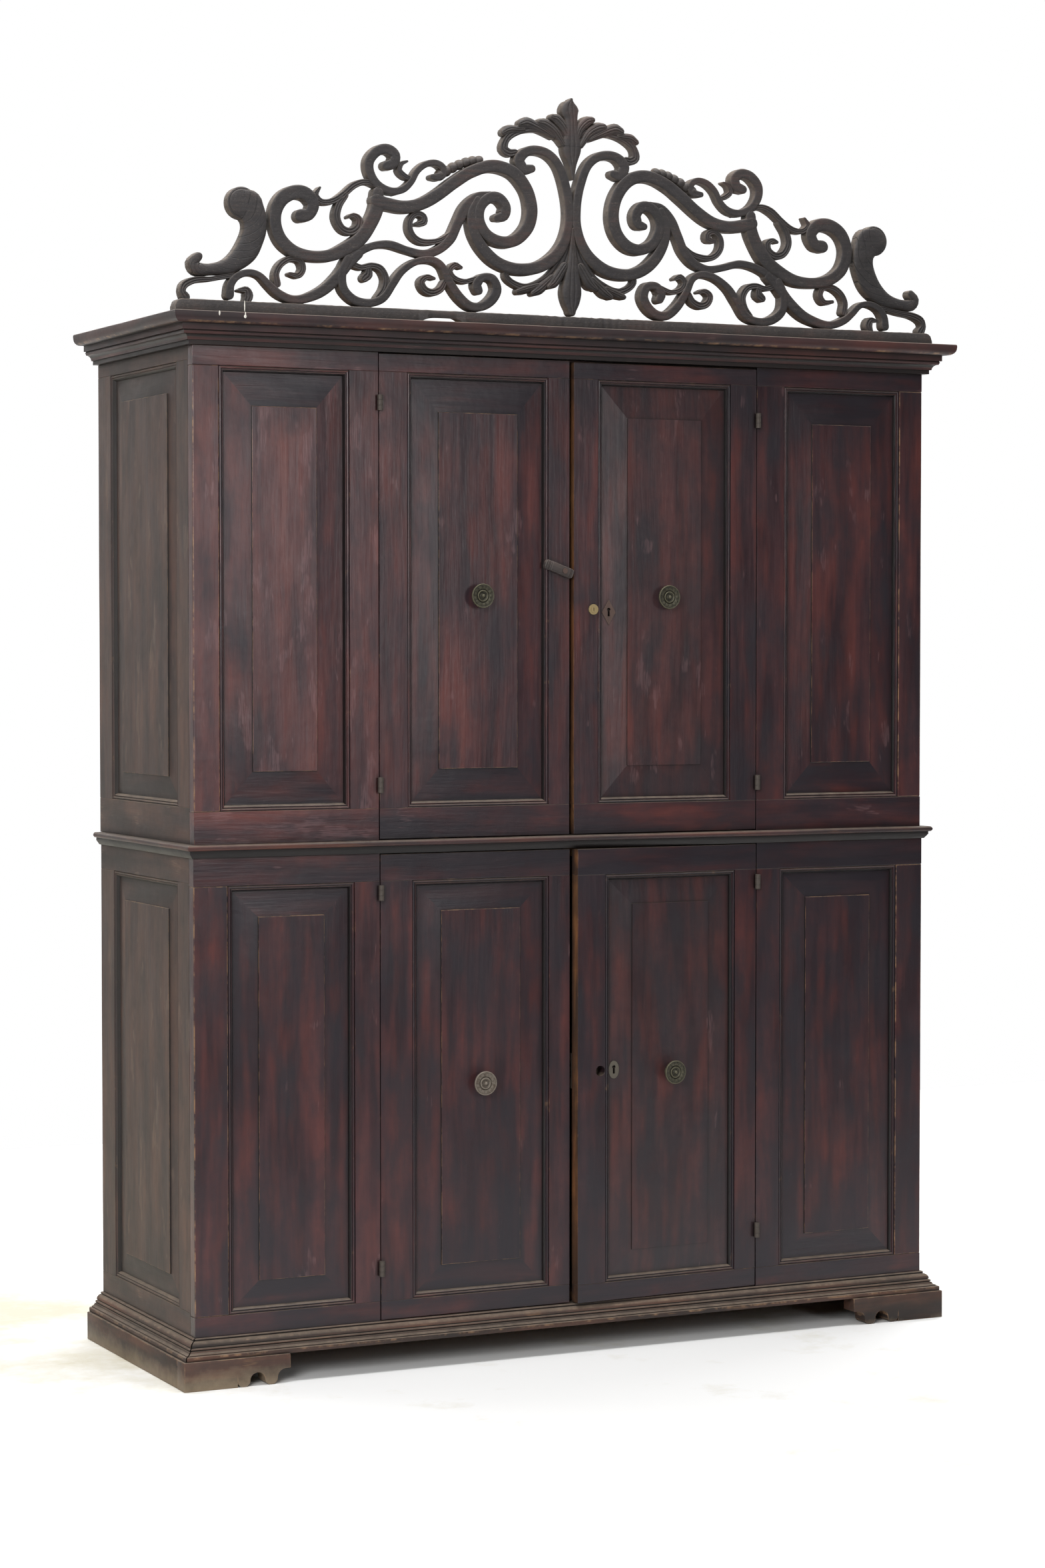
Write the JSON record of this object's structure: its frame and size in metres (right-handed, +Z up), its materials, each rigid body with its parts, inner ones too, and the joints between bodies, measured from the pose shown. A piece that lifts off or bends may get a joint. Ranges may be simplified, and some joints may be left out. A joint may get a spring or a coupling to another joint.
{
  "type": "two-part cupboard",
  "caption": "Tall two-part cupboard of panelled framing with hinged doors above and below, moulded cornice, bracket feet and a pierced carved scrollwork crest.",
  "frame": {"origin": "floor level, under the middle of the cupboard's bounding box", "axes": "+Z up, -Y out of the front doors, +X to the right as seen from the front"},
  "size_m": [1.912, 0.661, 2.766],
  "materials": {
    "case_wood": "dark red-brown stained hardwood, worn, with blackish and reddish streaks",
    "crest_wood": "near-black brown carved hardwood, dry and matt",
    "inner_wood": "bare brown boards",
    "grey_wood": "grey-brown bare wood, hand-cut",
    "iron": "dark rusted iron",
    "brass": "dull yellow brass",
    "bronze": "old brass gone dark with green-grey patina"
  },
  "bodies": {
    "case": {"feet": "case_wood", "base_moulding": "case_wood", "waist_moulding": "case_wood", "cornice": "case_wood", "crest_board": "crest_wood", "crest_scrollwork": "crest_wood", "shelf_cleats": "inner_wood", "frame_hinge_leaves": "iron", "lower_bottom_board": "inner_wood", "lower_top_board": "inner_wood", "lower_shelves": "inner_wood", "lower_back_boards": "inner_wood", "lower_left_leaf_frame": "case_wood", "lower_left_leaf_panel": "case_wood", "lower_right_leaf_frame": "case_wood", "lower_right_leaf_panel": "case_wood", "lower_left_side_frame": "case_wood", "lower_left_side_panel": "case_wood", "lower_right_side_frame": "case_wood", "lower_right_side_panel": "case_wood", "upper_bottom_board": "inner_wood", "upper_top_board": "inner_wood", "upper_shelves": "inner_wood", "upper_back_boards": "inner_wood", "upper_left_leaf_frame": "case_wood", "upper_left_leaf_panel": "case_wood", "upper_right_leaf_frame": "case_wood", "upper_right_leaf_panel": "case_wood", "upper_left_side_frame": "case_wood", "upper_left_side_panel": "case_wood", "upper_right_side_frame": "case_wood", "upper_right_side_panel": "case_wood"},
    "upper_left_door": {"upper_left_door_frame": "case_wood", "upper_left_door_panel": "case_wood", "upper_left_door_knob": "bronze", "upper_left_door_hinge_leaves": "iron", "turn_button_screw": "iron", "slide_bolt_guides": "iron"},
    "upper_right_door": {"upper_right_door_frame": "case_wood", "upper_right_door_panel": "case_wood", "upper_right_door_knob": "bronze", "upper_right_door_hinge_leaves": "iron", "upper_lock_case": "iron", "lock_cylinder": "brass", "upper_escutcheon": "iron"},
    "lower_left_door": {"lower_left_door_frame": "case_wood", "lower_left_door_panel": "case_wood", "lower_left_door_knob": "bronze", "lower_left_door_hinge_leaves": "iron"},
    "lower_right_door": {"lower_right_door_frame": "case_wood", "lower_right_door_panel": "case_wood", "lower_right_door_knob": "bronze", "lower_right_door_hinge_leaves": "iron", "lower_lock_case": "iron", "lower_escutcheon": "iron"},
    "turn_button": {"turn_button": "grey_wood"},
    "slide_bolt": {"slide_bolt": "iron"},
    "upper_lock_bolt": {"upper_lock_bolt": "iron"},
    "cylinder_plug": {"cylinder_plug": "brass"},
    "lower_lock_bolt": {"lower_lock_bolt": "iron"}
  },
  "joints": [
    {"name": "upper_left_door_hinge", "type": "hinge", "parent": "case", "child": "upper_left_door", "pos_m": [-0.473, -0.2785, 1.67], "axis": [0, 0, -1], "range_deg": [0, 165]},
    {"name": "upper_right_door_hinge", "type": "hinge", "parent": "case", "child": "upper_right_door", "pos_m": [0.458, -0.2785, 1.67], "axis": [0, 0, 1], "range_deg": [0, 165]},
    {"name": "lower_left_door_hinge", "type": "hinge", "parent": "case", "child": "lower_left_door", "pos_m": [-0.473, -0.2815, 0.61], "axis": [0, 0, -1], "range_deg": [0, 165]},
    {"name": "lower_right_door_hinge", "type": "hinge", "parent": "case", "child": "lower_right_door", "pos_m": [0.458, -0.2815, 0.61], "axis": [0, 0, 1], "range_deg": [-2.2, 162.8]},
    {"name": "turn_button_pivot", "type": "hinge", "parent": "upper_left_door", "child": "turn_button", "pos_m": [-0.033, -0.2775, 1.7285], "axis": [0, 1, 0], "continuous": true},
    {"name": "slide_bolt_slide", "type": "slide", "parent": "upper_left_door", "child": "slide_bolt", "axis": [0, 0, 1], "range_m": [0, 0.015]},
    {"name": "upper_lock_bolt_slide", "type": "slide", "parent": "upper_right_door", "child": "upper_lock_bolt", "axis": [-1, 0, 0], "range_m": [0, 0.0175]},
    {"name": "cylinder_plug_turn", "type": "hinge", "parent": "upper_right_door", "child": "cylinder_plug", "pos_m": [0.043, -0.2735, 1.6445], "axis": [0, 1, 0], "range_deg": [0, 90]},
    {"name": "lower_lock_bolt_slide", "type": "slide", "parent": "lower_right_door", "child": "lower_lock_bolt", "axis": [-0.9993, -0.0384, 0], "range_m": [0, 0.009]}
  ],
  "couplings": [
    {"joint": "upper_lock_bolt_slide", "follows": "cylinder_plug_turn", "m_per_rad": 0.0102}
  ]
}
